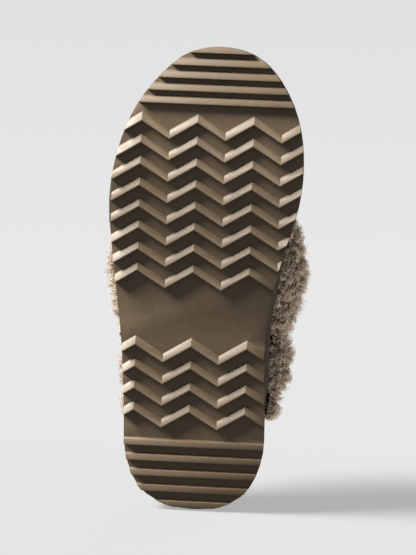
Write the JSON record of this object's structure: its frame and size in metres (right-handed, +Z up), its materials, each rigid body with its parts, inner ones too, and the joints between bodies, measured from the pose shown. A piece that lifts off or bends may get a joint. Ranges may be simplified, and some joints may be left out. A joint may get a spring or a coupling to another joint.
{
  "type": "fluffy house slipper",
  "caption": "Open-back house slipper with a suede upper, fleece lining, a thick curly wool cuff round the opening and a zigzag saw-tooth rubber sole.",
  "frame": {"origin": "middle of the bounding box on the ground plane, under the arch", "axes": "+Y from the toe towards the heel, +X towards the inner side of the right foot, +Z up from the tread"},
  "size_m": [0.1144, 0.268, 0.0939],
  "materials": {
    "sole_rubber": "matt moulded taupe rubber",
    "sole_foam": "closed-cell foam",
    "suede": "brushed taupe suede",
    "fibre_board": "pressed fibre board",
    "fleece": "short sheepskin pile",
    "curly_wool": "long curly taupe shearling with darker tips",
    "stiffener": "thermoplastic sheet",
    "thread": "waxed thread"
  },
  "bodies": {
    "root": {"outsole": "sole_rubber", "midsole": "sole_foam", "side_band": "suede", "heel_wrap": "suede", "insole_board": "fibre_board", "footbed_foam": "sole_foam", "footbed_fleece": "fleece", "vamp": "suede", "medial_quarter": "suede", "lateral_quarter": "suede", "vamp_lining": "fleece", "medial_quarter_lining": "fleece", "lateral_quarter_lining": "fleece", "toe_puff": "stiffener", "instep_cuff": "curly_wool", "medial_cuff": "curly_wool", "lateral_cuff": "curly_wool", "medial_seam_thread": "thread", "lateral_seam_thread": "thread", "foot_thread": "thread"}
  },
  "joints": []
}
